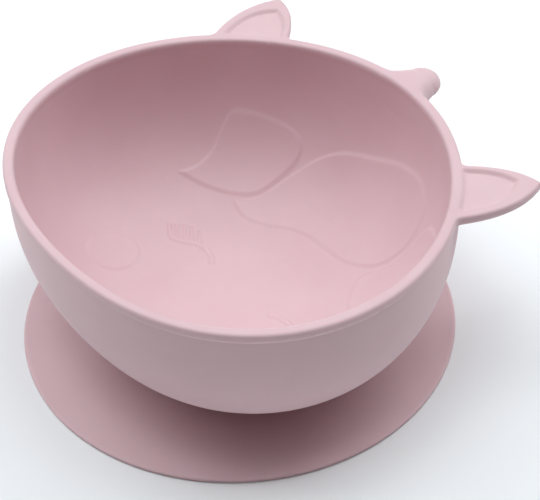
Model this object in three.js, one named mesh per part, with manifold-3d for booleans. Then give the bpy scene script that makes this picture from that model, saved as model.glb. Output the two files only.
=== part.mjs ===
// A baby's suction bowl, moulded in silicone as a unicorn's head seen from above.
// The bowl is an oval basin with two ears and a horn round its rim and a low-relief face inside.
// It stands on a wide suction foot: a hub, a thin flexible diaphragm and a sealing lip.
// Millimetres, +Z up, +Y towards the horn, mirror-symmetric about the plane X = 0.
import * as THREE from "three";
import { mergeVertices } from "three/addons/utils/BufferGeometryUtils.js";
import Module from "manifold-3d";

const wasm = await Module();
wasm.setup();

// ---- Driving dimensions ----
const RIM_HEIGHT = 52.8; // top of the rim above the table
const RIM_RADIUS = 58.2; // mean radius of the rim's outer edge
const RIM_FORWARD = 0.85; // how far the rim is set towards the horn, against the foot
const RIM_OVAL = 3.3; // how far the rim is wider from cheek to cheek
const RIM_EGG = 1.5; // how far the forehead is fuller than the chin
const RIM_SQUARE = 0.1; // slight squareness of the oval
const RIM_THICKNESS = 3;
const RIM_BAND = 2.5; // height of the band round the rim
const BAND_PROUD = 0.45; // how far the band stands out from the wall below it
const BAND_ROUND = 1.15; // rounding of the rim's two top edges

// A wall's power is 2 for an ellipse, and more is squarer.
const OUTER = { top: 44, bottom: 7, flat: 25, radius: RIM_RADIUS - BAND_PROUD, power: 2.2 };
const INNER = { top: 44, bottom: 10.2, flat: 22, radius: RIM_RADIUS - RIM_THICKNESS, power: 2.1 };

const RELIEF_HEIGHT = 0.5; // how far the face stands proud of the basin's surface
const RELIEF_ROOT = 0.5; // how deep the face's pieces are rooted in the wall

const EAR_THICKNESS = 2.8;
const EAR_DROP = 0.2; // the ears' top face lies this far below the rim
const EAR_EDGE = 1.0; // rounding of the ear's edge
const EAR_POCKET_DEPTH = 1.0;

const HORN_LENGTH = 10.5; // how far the horn stands out from the rim
const HORN_WIDTH = 11;
const HORN_THICKNESS = 7.2;
const HORN_DROP = 0.2; // the horn's top lies this far below the rim
const HORN_ROOT = 4; // how deep the horn's root reaches in behind the rim's edge
const HORN_FLARE = 2.6; // how much the horn widens into the rim on each side
const HORN_STEPS = 28;

const FOOT_RADIUS = 58; // outer edge of the sealing lip
const HUB_RADIUS = 24;
const HUB_TOP = OUTER.bottom;
const HUB_UNDERSIDE = 3.1; // roof of the suction chamber
const HUB_STEP = 0.4; // the diaphragm's roof starts this far above the hub's underside
const HUB_SHOULDER = 0.5; // the diaphragm's top starts this far below the hub's
const DIAPHRAGM_MIDDLE = { under: 2.2, top: 4.1 };
const LIP_INNER_RADIUS = 50;
const LIP_UNDER = 0.9; // height of the lip's underside at its inner edge
const LIP_TOP = 2.4; // height of the lip's top at its inner edge
const LIP_SHOULDER = { radius: 56, height: 1.5 };
const LIP_EDGE = 1.1; // thickness of the outer edge
const LIP_LAND = 51.6; // inner edge of the flat face that seals on the table
const LIFT_CHORD = 52.5; // distance of the lift edge's fold from the foot's axis

const GAP = 0.3; // clearance between neighbouring solids
const ROUND_STEPS = 72; // facets round the basin and the foot

const SILICONE = { color: 0xe6c6cb, roughness: 0.6, metalness: 0 };

// ---- Outline of the basin ----
// The azimuth is measured from the horn's axis, +Y, towards +X.
function rimRadius(azimuth) {
  return (
    RIM_RADIUS +
    RIM_FORWARD * Math.cos(azimuth) -
    RIM_OVAL * Math.cos(2 * azimuth) +
    RIM_EGG * Math.cos(3 * azimuth) +
    RIM_SQUARE * Math.cos(4 * azimuth)
  );
}

// Height range and radius of a basin surface: upright at its top, then a superellipse to a flat floor.
function basinCurve(surface, offset, steps) {
  const points = [new THREE.Vector2(0, surface.bottom + offset)];
  const reach = surface.radius - surface.flat - offset;
  const depth = surface.top - surface.bottom - offset;
  for (let i = 0; i <= steps; i++) {
    const angle = (i / steps) * (Math.PI / 2);
    const out = Math.sin(angle) ** (2 / surface.power);
    const down = Math.cos(angle) ** (2 / surface.power);
    points.push(
      new THREE.Vector2(surface.flat + reach * out, surface.top - depth * down),
    );
  }
  return points;
}

// ---- Geometry helpers ----
function solidOf(geometry) {
  const bare = geometry.index ? geometry.toNonIndexed() : geometry.clone();
  bare.deleteAttribute("normal");
  bare.deleteAttribute("uv");
  const merged = mergeVertices(bare, 1e-4);
  return new wasm.Manifold(
    new wasm.Mesh({
      numProp: 3,
      vertProperties: new Float32Array(merged.attributes.position.array),
      triVerts: new Uint32Array(merged.index.array),
    }),
  );
}

function geometryOf(solid) {
  const mesh = solid.getMesh();
  const geometry = new THREE.BufferGeometry();
  geometry.setAttribute(
    "position",
    new THREE.BufferAttribute(new Float32Array(mesh.vertProperties), 3),
  );
  geometry.setIndex(new THREE.BufferAttribute(new Uint32Array(mesh.triVerts), 1));
  geometry.computeVertexNormals();
  return geometry;
}

// A round solid about Z from a profile of (radius, height) points.
function turned(profile) {
  const geometry = new THREE.LatheGeometry(profile, ROUND_STEPS);
  geometry.rotateX(Math.PI / 2);
  return geometry;
}

// The same, stretched from a circle to the basin's egg-shaped outline.
function turnedOval(profile) {
  const geometry = turned(profile);
  const position = geometry.attributes.position;
  for (let i = 0; i < position.count; i++) {
    const x = position.getX(i);
    const y = position.getY(i);
    const stretch = rimRadius(Math.atan2(x, y)) / RIM_RADIUS;
    position.setXY(i, x * stretch, y * stretch);
  }
  return geometry;
}

// An outline in the XY plane, raised from one height to another, with optional rounded edges.
function raised(shape, low, high, rounding = 0, curveSegments = 6) {
  const geometry = new THREE.ExtrudeGeometry(shape, {
    depth: high - low - 2 * rounding,
    curveSegments,
    bevelEnabled: rounding > 0,
    bevelThickness: rounding,
    bevelSize: rounding,
    bevelOffset: -rounding,
    bevelSegments: 3,
  });
  geometry.translate(0, 0, low + rounding);
  return geometry;
}

function mirrored(solid) {
  return solid.mirror([1, 0, 0]);
}

function vectors(pairs) {
  return pairs.map(([x, y]) => new THREE.Vector2(x, y));
}

// ---- The face in low relief ----
// A lock of hair is a closed outline: a smooth curve that starts and ends at the lock's pointed tip.
function lockShape(tip, bends) {
  const shape = new THREE.Shape();
  shape.moveTo(tip[0], tip[1]);
  shape.splineThru(vectors([...bends, tip]));
  return shape;
}

const FORELOCK = lockShape(
  [-28.5, 19.2],
  [
    [-22.7, 18.4],
    [-16.3, 21],
    [-10.7, 25.2],
    [-4.7, 27.5],
    [2.7, 28],
    [10.9, 28.7],
    [18.5, 32],
    [22.4, 37.7],
    [22.7, 43],
    [19.7, 47.4],
    [13.2, 50.4],
    [4.1, 51.3],
    [-5.6, 49.7],
    [-13.9, 46.7],
    [-19.5, 41.7],
    [-22.6, 34.7],
    [-24.2, 27.2],
    [-26, 22.8],
  ],
);
const LEFT_LOCK = lockShape(
  [-43.2, 11.6],
  [
    [-36.5, 15.6],
    [-30, 20.6],
    [-26, 25.4],
    [-24.6, 31.8],
    [-23.8, 38.2],
    [-25.4, 41.3],
    [-30.3, 40.2],
    [-37, 36],
    [-42.3, 30.9],
    [-43.1, 27.2],
    [-41.9, 22.6],
    [-41.7, 17],
  ],
);
const RIGHT_LOCK = lockShape(
  [43.2, 11.6],
  [
    [36.5, 13.2],
    [30, 14.9],
    [25.3, 17.3],
    [20.3, 22.2],
    [18.1, 27.1],
    [19.9, 31],
    [23, 35],
    [24.8, 39.1],
    [26.6, 42],
    [30.3, 41.2],
    [37, 36.4],
    [42.3, 30.9],
    [43.1, 27.2],
    [41.9, 22.6],
    [41.7, 17],
  ],
);

const CHEEK = { x: 31, y: -19, wide: 5.9, tall: 7.3 };
const EYELID = [
  [13.2, 0.8],
  [15.2, 2],
  [18.6, 2.6],
  [22, 1.9],
  [25, -0.4],
  [27.9, -2],
  [30.6, -1.2],
  [32.6, 0.3],
];
const EYELID_HALF_WIDTH = { start: 0.75, end: 0.45 };
const LASH_HALF_WIDTH = { start: 0.55, end: 0.25 };
const LASHES = [
  { root: [27.1, -0.8], tip: [31.6, 1.9] },
  { root: [25.3, 0.5], tip: [30.2, 3.5] },
  { root: [23.7, 1.7], tip: [28.6, 4.8] },
  { root: [21.6, 2.7], tip: [26.1, 5.8] },
];

function cheekShape() {
  const shape = new THREE.Shape();
  shape.absellipse(CHEEK.x, CHEEK.y, CHEEK.wide, CHEEK.tall, 0, 2 * Math.PI);
  return shape;
}

// A stroke along a curve, whose half-width changes evenly from its start to its end.
function strokeShape(curve, halfWidth, steps) {
  const left = [];
  const right = [];
  for (let i = 0; i <= steps; i++) {
    const along = i / steps;
    const point = curve.getPoint(along);
    const tangent = curve.getTangent(along);
    const half = THREE.MathUtils.lerp(halfWidth.start, halfWidth.end, along);
    left.push(new THREE.Vector2(point.x - tangent.y * half, point.y + tangent.x * half));
    right.unshift(new THREE.Vector2(point.x + tangent.y * half, point.y - tangent.x * half));
  }
  return new THREE.Shape([...left, ...right]);
}

// The closed eye: the lid, whose outer end is its longest lash.
function eyelidShape() {
  return strokeShape(new THREE.SplineCurve(vectors(EYELID)), EYELID_HALF_WIDTH, 16);
}

function lashShape({ root, tip }) {
  const [start, end] = vectors([root, tip]);
  return strokeShape(new THREE.LineCurve(start, end), LASH_HALF_WIDTH, 1);
}

// The band of silicone just above the basin's surface, which the face's outlines are cut from.
function reliefLayer() {
  const steps = 12;
  const deep = basinCurve(INNER, -RELIEF_ROOT, steps);
  const high = basinCurve(INNER, RELIEF_HEIGHT, steps).reverse();
  return solidOf(turnedOval([...deep, ...high]));
}

function faceRelief() {
  const low = INNER.bottom - 3;
  const high = INNER.top + 3;
  const columns = [FORELOCK, LEFT_LOCK, RIGHT_LOCK].map((lock) =>
    solidOf(raised(lock, low, high, 0, 3)),
  );
  for (const shape of [cheekShape(), eyelidShape(), ...LASHES.map(lashShape)]) {
    const column = solidOf(raised(shape, low, high, 0, 10));
    columns.push(column, mirrored(column));
  }
  return wasm.Manifold.union(columns).intersect(reliefLayer());
}

// ---- The bowl ----
// The rim is a band that stands proud of the wall, with both of its top edges rounded.
function rimBand() {
  const steps = 4;
  const points = vectors([
    [OUTER.radius, RIM_HEIGHT - RIM_BAND],
    [RIM_RADIUS, RIM_HEIGHT - RIM_BAND + BAND_PROUD],
  ]);
  [RIM_RADIUS - BAND_ROUND, INNER.radius + BAND_ROUND].forEach((centre, corner) => {
    for (let i = 0; i <= steps; i++) {
      const angle = ((corner + i / steps) * Math.PI) / 2;
      points.push(
        new THREE.Vector2(
          centre + BAND_ROUND * Math.cos(angle),
          RIM_HEIGHT - BAND_ROUND + BAND_ROUND * Math.sin(angle),
        ),
      );
    }
  });
  return points;
}

function bowlBody() {
  const outside = basinCurve(OUTER, 0, 12);
  const inside = basinCurve(INNER, 0, 12).reverse();
  const shell = solidOf(turnedOval([...outside, ...rimBand(), ...inside]));
  return shell.add(faceRelief());
}

// Everything within a small clearance of the basin, to trim what is moulded against its wall.
function basinClearance() {
  const grown = { ...OUTER, radius: RIM_RADIUS + GAP, bottom: OUTER.bottom - GAP };
  const curve = basinCurve(grown, 0, 12);
  const lid = RIM_HEIGHT + 5;
  return solidOf(
    turnedOval([
      ...curve,
      new THREE.Vector2(grown.radius, lid),
      new THREE.Vector2(0, lid),
    ]),
  );
}

// ---- Ears and horn ----
// The ear's root is hidden in the wall, its tip leans towards the horn, and both sides bulge.
const EAR = {
  rootByHorn: [35.6, 45],
  bulgeByHorn: [44.2, 55.2],
  tip: [52.8, 55.4],
  bulgeByCheek: [57.8, 44],
  rootByCheek: [50, 30],
};
// The pocket in the ear's top face runs up to the rim.
const EAR_POCKET = {
  rootByHorn: [36.2, 42.5],
  bulgeByHorn: [42, 50.4],
  tip: [48.6, 51.2],
  bulgeByCheek: [54.4, 44],
  rootByCheek: [48, 32.5],
};

function earOutline(corners) {
  const shape = new THREE.Shape();
  shape.moveTo(...corners.rootByHorn);
  shape.quadraticCurveTo(...corners.bulgeByHorn, ...corners.tip);
  shape.quadraticCurveTo(...corners.bulgeByCheek, ...corners.rootByCheek);
  return shape;
}

function rightEar(clearance) {
  const top = RIM_HEIGHT - EAR_DROP;
  const blade = solidOf(raised(earOutline(EAR), top - EAR_THICKNESS, top, EAR_EDGE, 10));
  const pocket = solidOf(
    raised(earOutline(EAR_POCKET), top - EAR_POCKET_DEPTH, top + 1, 0, 8),
  );
  return blade.subtract(pocket).subtract(clearance);
}

// The horn is a round-tipped nub, turned about Y and flattened, with a flare where it meets the rim.
function horn(clearance) {
  const half = HORN_WIDTH / 2;
  const root = rimRadius(0) - HORN_ROOT;
  const shoulder = rimRadius(0) + HORN_LENGTH - half;
  const flare = new THREE.QuadraticBezierCurve(
    new THREE.Vector2(half + HORN_FLARE, root + HORN_ROOT / 2),
    new THREE.Vector2(half, root + HORN_ROOT),
    new THREE.Vector2(half, shoulder),
  );
  const tip = new THREE.EllipseCurve(0, shoulder, half, half, 0, Math.PI / 2);
  const profile = [
    new THREE.Vector2(0, root),
    new THREE.Vector2(half + HORN_FLARE, root),
    ...flare.getPoints(5),
    ...tip.getPoints(6).slice(1, -1),
    new THREE.Vector2(0, shoulder + half),
  ];
  const body = new THREE.LatheGeometry(profile, HORN_STEPS);
  body.scale(1, 1, HORN_THICKNESS / HORN_WIDTH);
  body.translate(0, 0, RIM_HEIGHT - HORN_DROP - HORN_THICKNESS / 2);
  return solidOf(body)
    .trimByPlane([0, 0, -1], -(RIM_HEIGHT - HORN_DROP / 2))
    .subtract(clearance);
}

// ---- The suction foot ----
function suctionHub() {
  return turned(
    vectors([
      [0, HUB_UNDERSIDE],
      [HUB_RADIUS, HUB_UNDERSIDE],
      [HUB_RADIUS, HUB_TOP - GAP],
      [0, HUB_TOP - GAP],
    ]),
  );
}

// A thin cone that flattens when the bowl is pressed down.
function suctionDiaphragm() {
  const inner = HUB_RADIUS + GAP;
  const outer = LIP_INNER_RADIUS - GAP;
  const middle = (inner + outer) / 2;
  return turned(
    vectors([
      [inner, HUB_UNDERSIDE + HUB_STEP],
      [middle, DIAPHRAGM_MIDDLE.under],
      [outer, LIP_UNDER],
      [outer, LIP_TOP],
      [middle, DIAPHRAGM_MIDDLE.top],
      [inner, HUB_TOP - HUB_SHOULDER],
      [inner, HUB_UNDERSIDE + HUB_STEP],
    ]),
  );
}

function wholeLip() {
  return solidOf(
    turned(
      vectors([
        [LIP_INNER_RADIUS, LIP_UNDER],
        [LIP_LAND, 0],
        [FOOT_RADIUS, 0],
        [FOOT_RADIUS, LIP_EDGE],
        [LIP_SHOULDER.radius, LIP_SHOULDER.height],
        [LIP_INNER_RADIUS, LIP_TOP],
        [LIP_INNER_RADIUS, LIP_UNDER],
      ]),
    ),
  );
}

// The stretch of lip under the horn that a fingertip lifts to let the air in.
function liftEdge() {
  return wholeLip().trimByPlane([0, 1, 0], LIFT_CHORD + GAP);
}

function sealingLip() {
  return wholeLip().trimByPlane([0, -1, 0], -LIFT_CHORD);
}

// ---- The assembly ----
function piece(name, geometry) {
  const mesh = new THREE.Mesh(geometry, new THREE.MeshStandardMaterial(SILICONE));
  mesh.name = name;
  return mesh;
}

function suctionBowl() {
  const clearance = basinClearance();
  const ear = rightEar(clearance);
  const object = new THREE.Group();
  object.add(
    piece("bowl_body", geometryOf(bowlBody())),
    piece("right_ear", geometryOf(ear)),
    piece("left_ear", geometryOf(mirrored(ear))),
    piece("horn", geometryOf(horn(clearance))),
    piece("suction_hub", suctionHub()),
    piece("suction_diaphragm", suctionDiaphragm()),
    piece("sealing_lip", geometryOf(sealingLip())),
    piece("lift_edge", geometryOf(liftEdge())),
  );
  // The origin is under the middle of the object's outline, from the foot's edge to the horn's tip.
  const hornTip = rimRadius(0) + HORN_LENGTH;
  object.position.y = -(hornTip - FOOT_RADIUS) / 2;
  return object;
}

export default suctionBowl();
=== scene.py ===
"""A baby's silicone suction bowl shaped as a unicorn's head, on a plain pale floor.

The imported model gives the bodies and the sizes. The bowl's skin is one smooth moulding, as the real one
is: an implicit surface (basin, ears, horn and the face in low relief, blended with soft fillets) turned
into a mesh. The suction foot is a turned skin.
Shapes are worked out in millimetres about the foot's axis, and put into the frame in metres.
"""
import math

import bmesh
import bpy
import numpy as np
from mathutils import Matrix, Vector


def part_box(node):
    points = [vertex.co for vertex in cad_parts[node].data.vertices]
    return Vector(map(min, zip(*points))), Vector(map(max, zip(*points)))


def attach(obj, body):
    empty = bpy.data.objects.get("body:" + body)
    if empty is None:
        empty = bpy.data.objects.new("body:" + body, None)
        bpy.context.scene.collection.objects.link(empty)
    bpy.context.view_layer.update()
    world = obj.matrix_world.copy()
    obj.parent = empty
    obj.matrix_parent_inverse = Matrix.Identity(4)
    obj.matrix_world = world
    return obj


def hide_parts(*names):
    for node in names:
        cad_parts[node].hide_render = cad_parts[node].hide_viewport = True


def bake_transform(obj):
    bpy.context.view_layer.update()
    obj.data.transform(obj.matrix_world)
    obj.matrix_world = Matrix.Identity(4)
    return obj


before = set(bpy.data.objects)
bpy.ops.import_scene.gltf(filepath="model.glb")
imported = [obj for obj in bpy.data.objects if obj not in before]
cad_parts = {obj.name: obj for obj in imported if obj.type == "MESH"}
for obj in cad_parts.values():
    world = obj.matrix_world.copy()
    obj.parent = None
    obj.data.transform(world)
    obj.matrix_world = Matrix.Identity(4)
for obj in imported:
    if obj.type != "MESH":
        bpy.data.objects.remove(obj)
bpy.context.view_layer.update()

# ---- Sizes read from the frame, in millimetres ----
MM = 0.001
HUB_LOW, HUB_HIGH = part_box("suction_hub")
BODY_LOW, BODY_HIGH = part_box("bowl_body")
AXIS_Y = (HUB_LOW.y + HUB_HIGH.y) / 2 / MM  # the foot's axis, along Y in the frame
RIM_HEIGHT = BODY_HIGH.z / MM
BASIN_BOTTOM = BODY_LOW.z / MM

# ---- The basin, as in the CAD ----
RIM_RADIUS = 58.12  # just inside the facets of the CAD
RIM_FORWARD, RIM_OVAL, RIM_EGG, RIM_SQUARE = 0.85, 3.3, 1.5, 0.1
RIM_THICKNESS = 3.0
RIM_BAND = 2.5  # height of the band round the rim
BAND_PROUD = 0.45  # how far the band stands out from the wall below it
TOP_ROUND, BAND_ROUND = 1.15, 0.4  # rounding of the band's top and bottom edges
BAND_FILLET = 0.6
WALL_TOP = 44.0  # above this height the wall stands upright
OUTER_FLAT, INNER_FLAT = 25.0, 22.0
FLOOR_TOP = BASIN_BOTTOM + 3.2
OUTER_POWER, INNER_POWER = 2.2, 2.1  # 2 is an ellipse, and more is squarer

# ---- Ears and horn ----
EAR_THICKNESS = 2.8
EAR_TOP = RIM_HEIGHT - 0.2
EAR_ROUND = 1.0
EAR_POCKET_DEPTH = 1.0
EAR_POCKET_SOFT = 1.5
EAR_FILLET = 2.2
HORN_LENGTH = 10.5
HORN_ROOT = 0.6  # outside the rim's outer edge
HORN_TIP_RADIUS, HORN_ROOT_RADIUS = 5.1, 7.0
HORN_FLATNESS = 0.7
HORN_TOP = RIM_HEIGHT - 0.2
HORN_FILLET = 3.0

TOP_FILLET = 1.0  # rounds the skin off below the height of the rim

# ---- The face in low relief ----
RELIEF_HEIGHT = 0.45
RELIEF_SLOPE = 1.3
LINE_HEIGHT = 0.4
LINE_SLOPE = 0.9

# ---- Mesh fineness ----
GRID_STEP = 0.55
SKIN_FACES = 190000
RELIEF_STEP = 0.2


# ---------------------------------------------------------------- outlines
def rim_radius(azimuth):
    """Radius of the rim's outer edge. The azimuth is measured from the horn, +Y, towards +X."""
    return (
        RIM_RADIUS
        + RIM_FORWARD * np.cos(azimuth)
        - RIM_OVAL * np.cos(2 * azimuth)
        + RIM_EGG * np.cos(3 * azimuth)
        + RIM_SQUARE * np.cos(4 * azimuth)
    )


def bezier(start, control, end, steps):
    """Points of a quadratic curve, without its last one."""
    t = np.linspace(0, 1, steps, endpoint=False)[:, None]
    start, control, end = (np.array(p, float) for p in (start, control, end))
    return (1 - t) ** 2 * start + 2 * t * (1 - t) * control + t**2 * end


def spline(points, closed, steps=8):
    """A smooth Catmull-Rom curve through the points."""
    p = np.array(points, float)
    count = len(p)
    spans = count if closed and not np.allclose(p[0], p[-1]) else count - 1
    out = []
    for i in range(spans):
        around = np.arange(i - 1, i + 3)
        a, b, c, d = p[around % count if closed else np.clip(around, 0, count - 1)]
        bend = 2 * a - 5 * b + 4 * c - d
        twist = 3 * b - a - 3 * c + d
        for t in np.linspace(0, 1, steps, endpoint=False):
            out.append(0.5 * (2 * b + (c - a) * t + bend * t**2 + twist * t**3))
    out.append(p[0] if closed else p[-1])
    return np.array(out)


def lock(tip, bends):
    """A lock of hair: a smooth outline that starts and ends at the pointed tip."""
    return spline([tip, *bends, tip], closed=False)[:-1]


def ellipse(x, y, wide, tall, steps=40):
    angle = np.linspace(0, 2 * math.pi, steps, endpoint=False)
    return np.stack([x + wide * np.cos(angle), y + tall * np.sin(angle)], 1)


FORELOCK = lock(
    (-28.5, 19.2),
    [(-22.7, 18.4), (-16.3, 21), (-10.7, 25.2), (-4.7, 27.5), (2.7, 28), (10.9, 28.7), (18.5, 32), (22.4, 37.7)]
    + [(22.7, 43), (19.7, 47.4), (13.2, 50.4), (4.1, 51.3), (-5.6, 49.7), (-13.9, 46.7), (-19.5, 41.7)]
    + [(-22.6, 34.7), (-24.2, 27.2), (-26, 22.8)],
)
LEFT_LOCK = lock(
    (-43.2, 11.6),
    [(-36.5, 15.6), (-30, 20.6), (-26, 25.4), (-24.6, 31.8), (-23.8, 38.2), (-25.4, 41.3), (-30.3, 40.2)]
    + [(-37, 36), (-42.3, 30.9), (-43.1, 27.2), (-41.9, 22.6), (-41.7, 17)],
)
RIGHT_LOCK = lock(
    (43.2, 11.6),
    [(36.5, 13.2), (30, 14.9), (25.3, 17.3), (20.3, 22.2), (18.1, 27.1), (19.9, 31), (23, 35), (24.8, 39.1)]
    + [(26.6, 42), (30.3, 41.2), (37, 36.4), (42.3, 30.9), (43.1, 27.2), (41.9, 22.6), (41.7, 17)],
)
CHEEK = ellipse(31, -19, 5.9, 7.3)
# The lid's line ends in the outermost lash.
EYELID = spline(
    [(13.2, 0.8), (15.2, 2), (18.6, 2.6), (22, 1.9), (25, -0.4), (27.9, -2), (30.6, -1.2), (32.6, 0.3)],
    closed=False,
)
LASHES = [
    ((27.1, -0.8), (31.6, 1.9)),
    ((25.3, 0.5), (30.2, 3.5)),
    ((23.7, 1.7), (28.6, 4.8)),
    ((21.6, 2.7), (26.1, 5.8)),
]
# Half the width of a stroke at its start, and how much it loses by its end.
EYELID_HALF_WIDTH, LASH_HALF_WIDTH, STROKE_TAPER = 0.75, 0.55, 0.3

EAR = np.vstack(
    [
        bezier((35.6, 45), (44.2, 55.2), (52.8, 55.4), 14),
        bezier((52.8, 55.4), (57.8, 44), (50, 30), 18),
        [(50, 30)],
    ]
)
EAR_POCKET = np.vstack(
    [
        bezier((36.2, 42.5), (42, 50.4), (48.6, 51.2), 12),
        bezier((48.6, 51.2), (54.4, 44), (48, 32.5), 14),
        [(48, 32.5)],
    ]
)


# ---------------------------------------------------------------- distances
def outline_distance(x, y, outline):
    """Distance to a closed outline in the XY plane, negative inside."""
    best = np.full(np.broadcast(x, y).shape, 1e9)
    inside = np.zeros(best.shape, bool)
    for (ax, ay), (bx, by) in zip(outline, np.roll(outline, -1, 0)):
        dx, dy = bx - ax, by - ay
        t = np.clip(((x - ax) * dx + (y - ay) * dy) / (dx * dx + dy * dy + 1e-12), 0, 1)
        best = np.minimum(best, (x - ax - t * dx) ** 2 + (y - ay - t * dy) ** 2)
        crosses = (ay > y) != (by > y)
        inside ^= crosses & (x < (y - ay) * dx / np.where(dy == 0, 1e-12, dy) + ax)
    return np.sqrt(best) * np.where(inside, -1, 1)


def stroke_distance(x, y, line, half_width):
    """Distance to a line drawn with a width that tapers towards its ends, negative inside it."""
    best = np.full(np.broadcast(x, y).shape, 1e9)
    spans = len(line) - 1
    for i in range(spans):
        (ax, ay), (bx, by) = line[i], line[i + 1]
        dx, dy = bx - ax, by - ay
        t = np.clip(((x - ax) * dx + (y - ay) * dy) / (dx * dx + dy * dy), 0, 1)
        distance = np.hypot(x - ax - t * dx, y - ay - t * dy)
        best = np.minimum(best, distance - half_width((i + t) / spans))
    return best


def smooth_step(value, low, high):
    t = np.clip((value - low) / (high - low), 0, 1)
    return t * t * (3 - 2 * t)


def smooth_union(a, b, radius):
    """The lesser of two distances, with a fillet where they meet."""
    h = np.clip(radius - np.abs(a - b), 0, None) / radius
    return np.minimum(a, b) - h * h * h * radius / 6


def rounded_corner(a, b):
    """Distance to a square corner from the distances to its two sides."""
    return np.minimum(np.maximum(a, b), 0) + np.hypot(np.clip(a, 0, None), np.clip(b, 0, None))


def basin_side(rho, z, flat, reach, bottom, power):
    """Distance to one side of the basin: upright at its top, then a superellipse to a flat floor."""
    out = np.clip(rho - flat, 0, None) / reach
    down = np.clip(WALL_TOP - z, 0, None) / (WALL_TOP - bottom)
    value = out**power + down**power - 1
    slope = np.hypot(
        power * out ** (power - 1) / reach,
        power * down ** (power - 1) / (WALL_TOP - bottom),
    )
    return value / np.maximum(slope, 0.02)


def relief_height(x, y):
    """How far the face stands proud of the basin's surface at a place in plan."""
    height = np.zeros(np.broadcast(x, y).shape)
    half = RELIEF_SLOPE / 2
    for shape in (FORELOCK, LEFT_LOCK, RIGHT_LOCK):
        edge = outline_distance(x, y, shape)
        height = np.maximum(height, RELIEF_HEIGHT * smooth_step(-edge, -half, half))
    across = np.abs(x)
    cheek = outline_distance(across, y, CHEEK)
    height = np.maximum(height, LINE_HEIGHT * smooth_step(-cheek, -half, half))
    lid = stroke_distance(across, y, EYELID, lambda t: EYELID_HALF_WIDTH - STROKE_TAPER * t)
    for root, tip in LASHES:
        lash = stroke_distance(across, y, (root, tip), lambda t: LASH_HALF_WIDTH - STROKE_TAPER * t)
        lid = np.minimum(lid, lash)
    return np.maximum(height, LINE_HEIGHT * smooth_step(-lid, -LINE_SLOPE / 2, LINE_SLOPE / 2))


class Table:
    """A function of the plan position, worked out once on a fine grid and read between its points."""

    def __init__(self, function, low, high, step):
        self.low, self.step = low, step
        xs = np.arange(low[0], high[0], step)
        ys = np.arange(low[1], high[1], step)
        self.values = function(xs[:, None], ys[None, :])

    def __call__(self, x, y):
        u = np.clip((x - self.low[0]) / self.step, 0, self.values.shape[0] - 1.001)
        v = np.clip((y - self.low[1]) / self.step, 0, self.values.shape[1] - 1.001)
        i, j = u.astype(int), v.astype(int)
        u, v = u - i, v - j
        t = self.values
        near = t[i, j] * (1 - u) + t[i + 1, j] * u
        far = t[i, j + 1] * (1 - u) + t[i + 1, j + 1] * u
        return near * (1 - v) + far * v


RELIEF = Table(relief_height, (-48, -30), (48, 56), RELIEF_STEP)
EAR_EDGE = Table(lambda x, y: outline_distance(x, y, EAR), (28, 22), (64, 64), 0.25)
POCKET_EDGE = Table(lambda x, y: outline_distance(x, y, EAR_POCKET), (28, 22), (64, 64), 0.25)


def basin_distance(x, y, z):
    rho = np.hypot(x, y) * RIM_RADIUS / rim_radius(np.arctan2(x, y))
    outer_reach = RIM_RADIUS - BAND_PROUD - OUTER_FLAT
    inner_reach = RIM_RADIUS - RIM_THICKNESS - INNER_FLAT
    outer = basin_side(rho, z, OUTER_FLAT, outer_reach, BASIN_BOTTOM, OUTER_POWER)
    inner = basin_side(rho, z, INNER_FLAT, inner_reach, FLOOR_TOP, INNER_POWER)
    shell = np.maximum(np.maximum(outer, -inner - RELIEF(x, y)), z - (RIM_HEIGHT - RIM_BAND / 2))
    middle = RIM_HEIGHT - RIM_BAND / 2
    corner = np.where(z > middle, TOP_ROUND, BAND_ROUND)
    across = np.abs(rho - (RIM_RADIUS - RIM_THICKNESS / 2)) - RIM_THICKNESS / 2 + corner
    along = np.abs(z - middle) - RIM_BAND / 2 + corner
    band = rounded_corner(across, along) - corner
    return smooth_union(shell, band, BAND_FILLET)


def ear_distance(x, y, z):
    edge = EAR_EDGE(np.abs(x), y)
    pocket = smooth_step(-POCKET_EDGE(np.abs(x), y), -EAR_POCKET_SOFT / 2, EAR_POCKET_SOFT / 2)
    top = EAR_TOP - EAR_POCKET_DEPTH * pocket
    bottom = EAR_TOP - EAR_THICKNESS
    out = edge + EAR_ROUND
    up = np.maximum(z - top, bottom - z) + EAR_ROUND
    return rounded_corner(out, up) - EAR_ROUND


def horn_distance(x, y, z):
    """A flattened cone with a round tip, from inside the rim outwards."""
    root = rim_radius(0.0) + HORN_ROOT
    tip = rim_radius(0.0) + HORN_LENGTH - HORN_TIP_RADIUS
    middle = HORN_TOP - HORN_TIP_RADIUS * HORN_FLATNESS
    along = np.clip((y - root) / (tip - root), 0, 1)
    radius = HORN_ROOT_RADIUS + (HORN_TIP_RADIUS - HORN_ROOT_RADIUS) * along
    past = y - root - along * (tip - root)
    return (np.sqrt(x**2 + past**2 + ((z - middle) / HORN_FLATNESS) ** 2) - radius) * HORN_FLATNESS


def bowl_distance(x, y, z):
    """Distance to the bowl's skin, negative inside the silicone."""
    basin = basin_distance(x, y, z)
    outside = np.hypot(x, y) - rim_radius(np.arctan2(x, y)) + RIM_THICKNESS / 2
    ears = np.maximum(ear_distance(x, y, z), -outside)
    horn = np.maximum(horn_distance(x, y, z), -outside)
    joined = smooth_union(smooth_union(basin, ears, EAR_FILLET), horn, HORN_FILLET)
    return -smooth_union(-joined, RIM_HEIGHT - z, TOP_FILLET)


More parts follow.
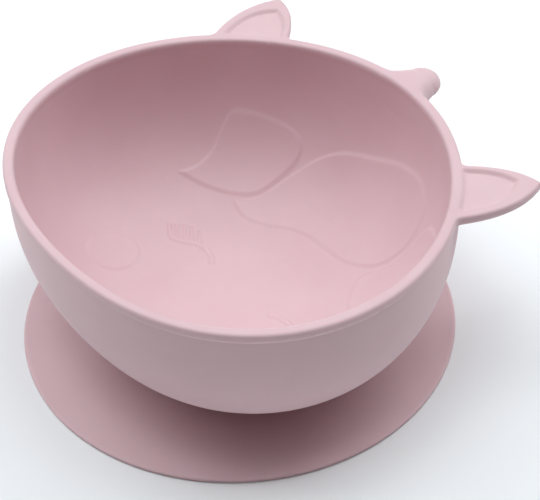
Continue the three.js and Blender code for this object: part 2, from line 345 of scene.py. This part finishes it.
# ---------------------------------------------------------------- skin from distances
def surface_net(distance, low, high, step):
    """Vertices and quads of a distance function's zero surface, one vertex to each cell it crosses."""
    axes = [np.arange(a, b, step) for a, b in zip(low, high)]
    x, y, z = np.ix_(*axes)
    field = distance(x, y, z).astype(np.float32)
    corners = [(i, j, k) for i in (0, 1) for j in (0, 1) for k in (0, 1)]
    cells = tuple(n - 1 for n in field.shape)

    def corner(offset):
        return field[tuple(slice(o, o + n) for o, n in zip(offset, cells))]

    inside = sum((corner(c) < 0).astype(np.int8) for c in corners)
    active = np.argwhere((inside > 0) & (inside < 8))
    total = np.zeros((len(active), 3))
    count = np.zeros(len(active))
    for axis in range(3):
        for start in corners:
            if start[axis]:
                continue
            end = list(start)
            end[axis] = 1
            a = field[tuple((active + start).T)]
            b = field[tuple((active + end).T)]
            crossed = (a < 0) != (b < 0)
            place = np.tile(np.array(start, float), (len(active), 1))
            place[:, axis] += np.where(crossed, a / np.where(crossed, a - b, 1), 0)
            total += place * crossed[:, None]
            count += crossed
    points = (active + total / count[:, None]) * step + np.array(low)
    ids = np.full(cells, -1, np.int64)
    ids[tuple(active.T)] = np.arange(len(active))
    quads = []
    for axis in range(3):
        u, v = (axis + 1) % 3, (axis + 2) % 3
        low_side = [slice(1, -1)] * 3
        low_side[axis] = slice(0, -1)
        high_side = list(low_side)
        high_side[axis] = slice(1, None)
        a, b = field[tuple(low_side)] < 0, field[tuple(high_side)] < 0
        edges = np.argwhere(a != b)
        leaves = a[tuple(edges.T)]
        at = edges + 1
        at[:, axis] -= 1
        ring = []
        for du, dv in ((-1, -1), (0, -1), (0, 0), (-1, 0)):
            cell = at.copy()
            cell[:, u] += du
            cell[:, v] += dv
            ring.append(ids[tuple(cell.T)])
        ring = np.stack(ring, 1)
        ring[~leaves] = ring[~leaves][:, ::-1]
        quads.append(ring)
    return points, np.vstack(quads)


def slope_at(distance, points, reach=0.08):
    x, y, z = points.T
    return (
        np.stack(
            [
                distance(x + reach, y, z) - distance(x - reach, y, z),
                distance(x, y + reach, z) - distance(x, y - reach, z),
                distance(x, y, z + reach) - distance(x, y, z - reach),
            ],
            1,
        )
        / (2 * reach)
    )


def drop_onto(distance, points, rounds=4, furthest=0.4):
    """Moves points onto the zero surface of a distance function."""
    points = points.copy()
    for _ in range(rounds):
        slope = slope_at(distance, points)
        step = distance(*points.T)[:, None] * slope / np.maximum((slope**2).sum(1), 0.05)[:, None]
        length = np.linalg.norm(step, axis=1, keepdims=True)
        points -= step * np.minimum(1, furthest / np.maximum(length, 1e-9))
    return points


def place(points):
    """Millimetres about the foot's axis into metres in the frame."""
    return (points + np.array([0, AXIS_Y, 0])) * MM


def mesh_object(name, points, faces):
    mesh = bpy.data.meshes.new(name)
    mesh.from_pydata(place(points).tolist(), [], [list(f) for f in faces])
    mesh.validate()
    piece = bpy.data.objects.new(name, mesh)
    bpy.context.scene.collection.objects.link(piece)
    return piece


def mesh_points(piece):
    flat = np.empty(len(piece.data.vertices) * 3, np.float32)
    piece.data.vertices.foreach_get("co", flat)
    return flat.reshape(-1, 3).astype(float) / MM - np.array([0, AXIS_Y, 0])


def split_faces(piece, wanted):
    """Splits into four the upward faces whose centres are wanted in plan."""
    mesh = bmesh.new()
    mesh.from_mesh(piece.data)
    mesh.normal_update()
    faces = list(mesh.faces)
    middles = np.array([f.calc_center_median()[:] for f in faces]) / MM - np.array([0, AXIS_Y, 0])
    upward = np.array([f.normal.z for f in faces]) > 0.15
    chosen = wanted(middles[:, 0], middles[:, 1]) & upward & (middles[:, 2] < WALL_TOP)
    edges = {e for f, take in zip(faces, chosen) if take for e in f.edges}
    bmesh.ops.subdivide_edges(mesh, edges=list(edges), cuts=1, use_grid_fill=True)
    bmesh.ops.triangulate(mesh, faces=[f for f in mesh.faces if len(f.verts) > 4])
    mesh.to_mesh(piece.data)
    mesh.free()


def thin_out(piece, faces):
    """Takes faces away where the surface is flat, down to the stated number of triangles."""
    triangles = sum(len(f.vertices) - 2 for f in piece.data.polygons)
    if triangles <= faces:
        return
    modifier = piece.modifiers.new("thin_out", "DECIMATE")
    modifier.ratio = faces / triangles
    bpy.context.view_layer.update()
    made = bpy.data.meshes.new_from_object(piece.evaluated_get(bpy.context.evaluated_depsgraph_get()))
    piece.modifiers.clear()
    piece.data = made
    made.name = piece.name


def smooth_shaded(piece, normals):
    piece.data.polygons.foreach_set("use_smooth", [True] * len(piece.data.polygons))
    unit = normals / np.maximum(np.linalg.norm(normals, axis=1, keepdims=True), 1e-9)
    piece.data.normals_split_custom_set_from_vertices(unit.tolist())


SKIN_LOW, SKIN_HIGH = (-66, -60, 4), (66, 71, 55)  # a box round the whole bowl


def by_the_eyes(x, y):
    return (np.abs(x) > 11.5) & (np.abs(x) < 34.5) & (y > -4) & (y < 8)


def on_face_lines(x, y):
    height = RELIEF(x, y)
    return by_the_eyes(x, y) | ((height > 0.005) & (height < RELIEF_HEIGHT - 0.005))


def bowl_skin():
    points, quads = surface_net(bowl_distance, SKIN_LOW, SKIN_HIGH, GRID_STEP)
    points = drop_onto(bowl_distance, points)
    piece = mesh_object("bowl_skin", points, quads)
    split_faces(piece, on_face_lines)
    split_faces(piece, by_the_eyes)
    points = drop_onto(bowl_distance, mesh_points(piece))
    piece.data.vertices.foreach_set("co", place(points).astype(np.float32).ravel())
    thin_out(piece, SKIN_FACES)
    points = drop_onto(bowl_distance, mesh_points(piece))
    piece.data.vertices.foreach_set("co", place(points).astype(np.float32).ravel())
    smooth_shaded(piece, slope_at(bowl_distance, points, 0.12))
    return piece


# ---------------------------------------------------------------- the suction foot
EDGE_CUT = 51.0  # the edge skin starts at this chord, inside the fold
FOOT_EDGE = 57.99  # just inside the CAD's edge
FOOT_STEPS = 240


def foot_profile():
    """Radius and height round the foot's section, from the axis under the hub to the axis over it."""
    roof = spline([(0, 3.1), (12, 3.1), (22, 3.15), (27, 3.2), (37, 2.2), (46, 1.25), (50, 0.75)], False, 6)
    land = spline([(50, 0.75), (51.2, 0.2), (52.2, 0.02), (54, 0.0), (57, 0.0)], False, 5)
    edge = spline([(57, 0.0), (57.75, 0.12), (58, 0.5), (57.85, 0.95), (57.2, 1.2)], False, 6)
    cone = spline([(57.2, 1.2), (55, 1.5), (50, 2.3), (43, 3.3), (37, 4.1), (31, 5.0), (28, 5.55)], False, 6)
    neck = [(28, 5.55), (26.3, 6.1), (25.3, 6.9), (25, 7.8), (24.6, 8.4), (23, 8.7), (12, 8.8), (0, 8.8)]
    neck = spline(neck, False, 5)
    profile = np.vstack([part[:-1] for part in (roof, land, edge, cone, neck)] + [neck[-1:]])
    return np.clip(profile, 0, FOOT_EDGE)


def profile_normals(profile):
    step = np.gradient(profile, axis=0)
    normal = np.stack([step[:, 1], -step[:, 0]], 1)
    return normal / np.linalg.norm(normal, axis=1, keepdims=True)


def turned(profile, steps):
    """Vertices and quads of a profile turned about the axis, on which its first and last points lie."""
    angle = np.linspace(0, 2 * math.pi, steps, endpoint=False)
    ring = np.stack([np.sin(angle), np.cos(angle)], 1)
    body = profile[1:-1]
    points = [(0, 0, profile[0][1])]
    for radius, height in body:
        points += [(radius * s, radius * c, height) for s, c in ring]
    points.append((0, 0, profile[-1][1]))
    rows = len(body)
    faces = []
    for j in range(steps):
        k = (j + 1) % steps
        faces.append((0, 1 + j, 1 + k))
        for i in range(rows - 1):
            a = 1 + i * steps
            faces.append((a + j, a + steps + j, a + steps + k, a + k))
        a = 1 + (rows - 1) * steps
        faces.append((a + k, a + j, len(points) - 1))
    return np.array(points), faces


def cut_at(piece, chord, keep_outside):
    """Keeps one side of the plane Y = chord, and closes the cut."""
    mesh = bmesh.new()
    mesh.from_mesh(piece.data)
    plane = Vector((0, (chord + AXIS_Y) * MM, 0))
    cut = bmesh.ops.bisect_plane(
        mesh,
        geom=mesh.verts[:] + mesh.edges[:] + mesh.faces[:],
        plane_co=plane,
        plane_no=(0, 1, 0),
        clear_inner=keep_outside,
        clear_outer=not keep_outside,
    )
    rim = [e for e in cut["geom_cut"] if isinstance(e, bmesh.types.BMEdge)]
    bmesh.ops.edgenet_fill(mesh, edges=rim)
    bmesh.ops.recalc_face_normals(mesh, faces=mesh.faces[:])
    mesh.to_mesh(piece.data)
    mesh.free()


def shade_as_turned(piece, profile):
    """Smooth shading with the profile's own normals, so that the cut pieces meet without a seam."""
    normals = profile_normals(profile)
    points = mesh_points(piece)
    radius = np.hypot(points[:, 0], points[:, 1])
    gap = np.hypot(radius[:, None] - profile[None, :, 0], points[:, 2][:, None] - profile[None, :, 1])
    nearest = gap.argmin(1)
    out = normals[nearest]
    away = points[:, :2] / np.maximum(radius, 1e-6)[:, None]
    smooth_shaded(piece, np.stack([out[:, 0] * away[:, 0], out[:, 0] * away[:, 1], out[:, 1]], 1))


def foot_piece(name, keep_outside):
    profile = foot_profile()
    points, faces = turned(profile, FOOT_STEPS)
    piece = mesh_object(name, points, faces)
    cut_at(piece, EDGE_CUT, keep_outside)
    shade_as_turned(piece, profile)
    return piece


def flex_from_hub(piece):
    """Bakes the piece's placing into its mesh; the points it then reads are not used."""
    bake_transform(piece)
    points = mesh_points(piece)


# ---------------------------------------------------------------- silicone
PINK = (0.725, 0.5, 0.531)
PINK_DEEPER = (0.70, 0.472, 0.504)
SPECK = (0.42, 0.27, 0.29)


def node(tree, kind, **values):
    made = tree.nodes.new(kind)
    for name, value in values.items():
        if hasattr(made, name):
            setattr(made, name, value)
        else:
            made.inputs[name].default_value = value
    return made


def noise(tree, where, scale, detail=2.0, rough=0.5):
    made = node(tree, "ShaderNodeTexNoise")
    made.inputs["Scale"].default_value = scale
    made.inputs["Detail"].default_value = detail
    made.inputs["Roughness"].default_value = rough
    tree.links.new(where, made.inputs["Vector"])
    return made


def ramp(tree, value, low, high, from_value=0.0, to_value=1.0):
    made = node(tree, "ShaderNodeMapRange")
    made.inputs["From Min"].default_value = low
    made.inputs["From Max"].default_value = high
    made.inputs["To Min"].default_value = from_value
    made.inputs["To Max"].default_value = to_value
    tree.links.new(value, made.inputs["Value"])
    return made


def colour_mix(tree, share, a, b):
    made = node(tree, "ShaderNodeMix", data_type="RGBA")
    tree.links.new(share, made.inputs["Factor"])
    for socket, value in zip((made.inputs[6], made.inputs[7]), (a, b)):
        if isinstance(value, tuple):
            socket.default_value = (*value, 1)
        else:
            tree.links.new(value, socket)
    return made.outputs[2]


def silicone(name):
    """Matte moulded silicone: faintly mottled pink, a fine blasted-mould grain and a few specks of dust."""
    material = bpy.data.materials.new(name)
    material.use_nodes = True
    tree = material.node_tree
    shader = tree.nodes["Principled BSDF"]
    where = node(tree, "ShaderNodeTexCoord").outputs["Object"]

    mottle = noise(tree, where, 45, 4, 0.55)
    deeper = ramp(tree, mottle.outputs["Fac"], 0.35, 0.7)
    pink = colour_mix(tree, deeper.outputs["Result"], PINK, PINK_DEEPER)
    dust = node(tree, "ShaderNodeTexVoronoi", feature="F1")
    dust.inputs["Scale"].default_value = 130
    tree.links.new(where, dust.inputs["Vector"])
    spot = ramp(tree, dust.outputs["Distance"], 0.035, 0.02)
    patches = ramp(tree, noise(tree, where, 60, 1).outputs["Fac"], 0.62, 0.68, 0.0, 0.45)
    both = node(tree, "ShaderNodeMath", operation="MULTIPLY")
    tree.links.new(spot.outputs["Result"], both.inputs[0])
    tree.links.new(patches.outputs["Result"], both.inputs[1])
    tree.links.new(colour_mix(tree, both.outputs[0], pink, SPECK), shader.inputs["Base Color"])

    handled = noise(tree, where, 28, 5, 0.6)
    matt = ramp(tree, handled.outputs["Fac"], 0.3, 0.7, 0.5, 0.62)
    tree.links.new(matt.outputs["Result"], shader.inputs["Roughness"])

    grain = noise(tree, where, 2600, 3, 0.7)
    flow = noise(tree, where, 160, 2, 0.5)
    height = node(tree, "ShaderNodeMath", operation="MULTIPLY_ADD")
    height.inputs[1].default_value = 3.0
    tree.links.new(flow.outputs["Fac"], height.inputs[0])
    tree.links.new(grain.outputs["Fac"], height.inputs[2])
    bump = node(tree, "ShaderNodeBump")
    bump.inputs["Strength"].default_value = 0.35
    bump.inputs["Distance"].default_value = 0.00003
    tree.links.new(height.outputs[0], bump.inputs["Height"])
    tree.links.new(bump.outputs["Normal"], shader.inputs["Normal"])

    shader.inputs["IOR"].default_value = 1.43
    shader.inputs["Subsurface Weight"].default_value = 0.12
    shader.inputs["Subsurface Radius"].default_value = (1.0, 0.45, 0.4)
    shader.inputs["Subsurface Scale"].default_value = 0.0015
    shader.inputs["Sheen Weight"].default_value = 0.12
    shader.inputs["Sheen Roughness"].default_value = 0.5
    return material


# ---------------------------------------------------------------- studio
VIEW_AZIMUTH = 54.56


def make_camera():
    """The picture's viewpoint: from the right ear's side of the chin, about 42 degrees above the table."""
    data = bpy.data.cameras.new("camera")
    data.lens = 107.16
    data.sensor_width = 36
    data.clip_start, data.clip_end = 0.01, 20
    camera = bpy.data.objects.new("camera", data)
    bpy.context.scene.collection.objects.link(camera)
    stand = Vector(place(np.array([259.5, -173.8, 302.8])))
    target = Vector(place(np.array([5.0, 7.4, 23.8])))
    roll = Matrix.Rotation(math.radians(-2.26), 4, "Z")
    aim = (target - stand).to_track_quat("-Z", "Y").to_matrix().to_4x4()
    camera.matrix_world = Matrix.Translation(stand) @ aim @ roll
    bpy.context.scene.camera = camera


def softbox(name, place_at, target, size, power, colour):
    data = bpy.data.lights.new(name, "AREA")
    data.shape = "RECTANGLE"
    data.size, data.size_y = size
    data.energy = power
    data.color = colour
    lamp = bpy.data.objects.new(name, data)
    lamp.location = place_at
    lamp.rotation_mode = "QUATERNION"
    lamp.rotation_quaternion = (Vector(target) - Vector(place_at)).to_track_quat("-Z", "Y")
    bpy.context.scene.collection.objects.link(lamp)


# Softboxes round the table: bearing from the camera's side, height angle, and power in watts.
SOFTBOXES = [
    (0, 90, 5.7),
    (120, 58, 4.3),
    (120, 30, 3.7),
    (180, 45, 0.5),
    (240, 58, 3.5),
    (240, 30, 4.0),
    (300, 58, 1.3),
    (60, 58, 0.3),
]


DAYLIGHT = (0.93, 1.0, 1.02)
SOFTBOX_DISTANCE, SOFTBOX_SIDE = 1.2, 0.7


def make_studio():
    middle = Vector((0, 0, 0.03))
    for bearing, height, power in SOFTBOXES:
        turn, lift = math.radians(VIEW_AZIMUTH + bearing), math.radians(height)
        out = math.cos(lift)
        direction = Vector((math.sin(turn) * out, -math.cos(turn) * out, math.sin(lift)))
        stand = middle + SOFTBOX_DISTANCE * direction
        softbox(f"softbox_{bearing}_{height}", stand, middle, (SOFTBOX_SIDE, SOFTBOX_SIDE), power, DAYLIGHT)
    world = bpy.data.worlds.new("studio")
    world.use_nodes = True
    world.node_tree.nodes["Background"].inputs["Color"].default_value = (1, 0.94, 0.94, 1)
    world.node_tree.nodes["Background"].inputs["Strength"].default_value = 0.06
    bpy.context.scene.world = world
    bpy.context.scene.view_settings.view_transform = "Standard"


def make_floor():
    mesh = bpy.data.meshes.new("floor")
    half = 6.0
    corners = [(-half, -half, 0), (half, -half, 0), (half, half, 0), (-half, half, 0)]
    mesh.from_pydata(corners, [], [(0, 1, 2, 3)])
    floor = bpy.data.objects.new("floor", mesh)
    bpy.context.scene.collection.objects.link(floor)
    material = bpy.data.materials.new("white_sweep")
    material.use_nodes = True
    shader = material.node_tree.nodes["Principled BSDF"]
    shader.inputs["Base Color"].default_value = (0.93, 0.93, 0.94, 1)
    shader.inputs["Roughness"].default_value = 0.9
    shader.inputs["Specular IOR Level"].default_value = 0.1
    floor.data.materials.append(material)


# ---------------------------------------------------------------- assembly
def dress(piece, material, *nodes):
    piece.data.materials.append(material)
    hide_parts(*nodes)


make_camera()
make_studio()
make_floor()

pink_silicone = silicone("pink_silicone")

bowl = bowl_skin()
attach(bowl, "bowl")
dress(bowl, pink_silicone, "bowl_body", "right_ear", "left_ear", "horn")

foot = foot_piece("foot_skin", keep_outside=False)
flex_from_hub(foot)
dress(foot, pink_silicone, "suction_hub", "suction_diaphragm", "sealing_lip")

edge = foot_piece("edge_skin", keep_outside=True)
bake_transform(edge)
dress(edge, pink_silicone, "lift_edge")
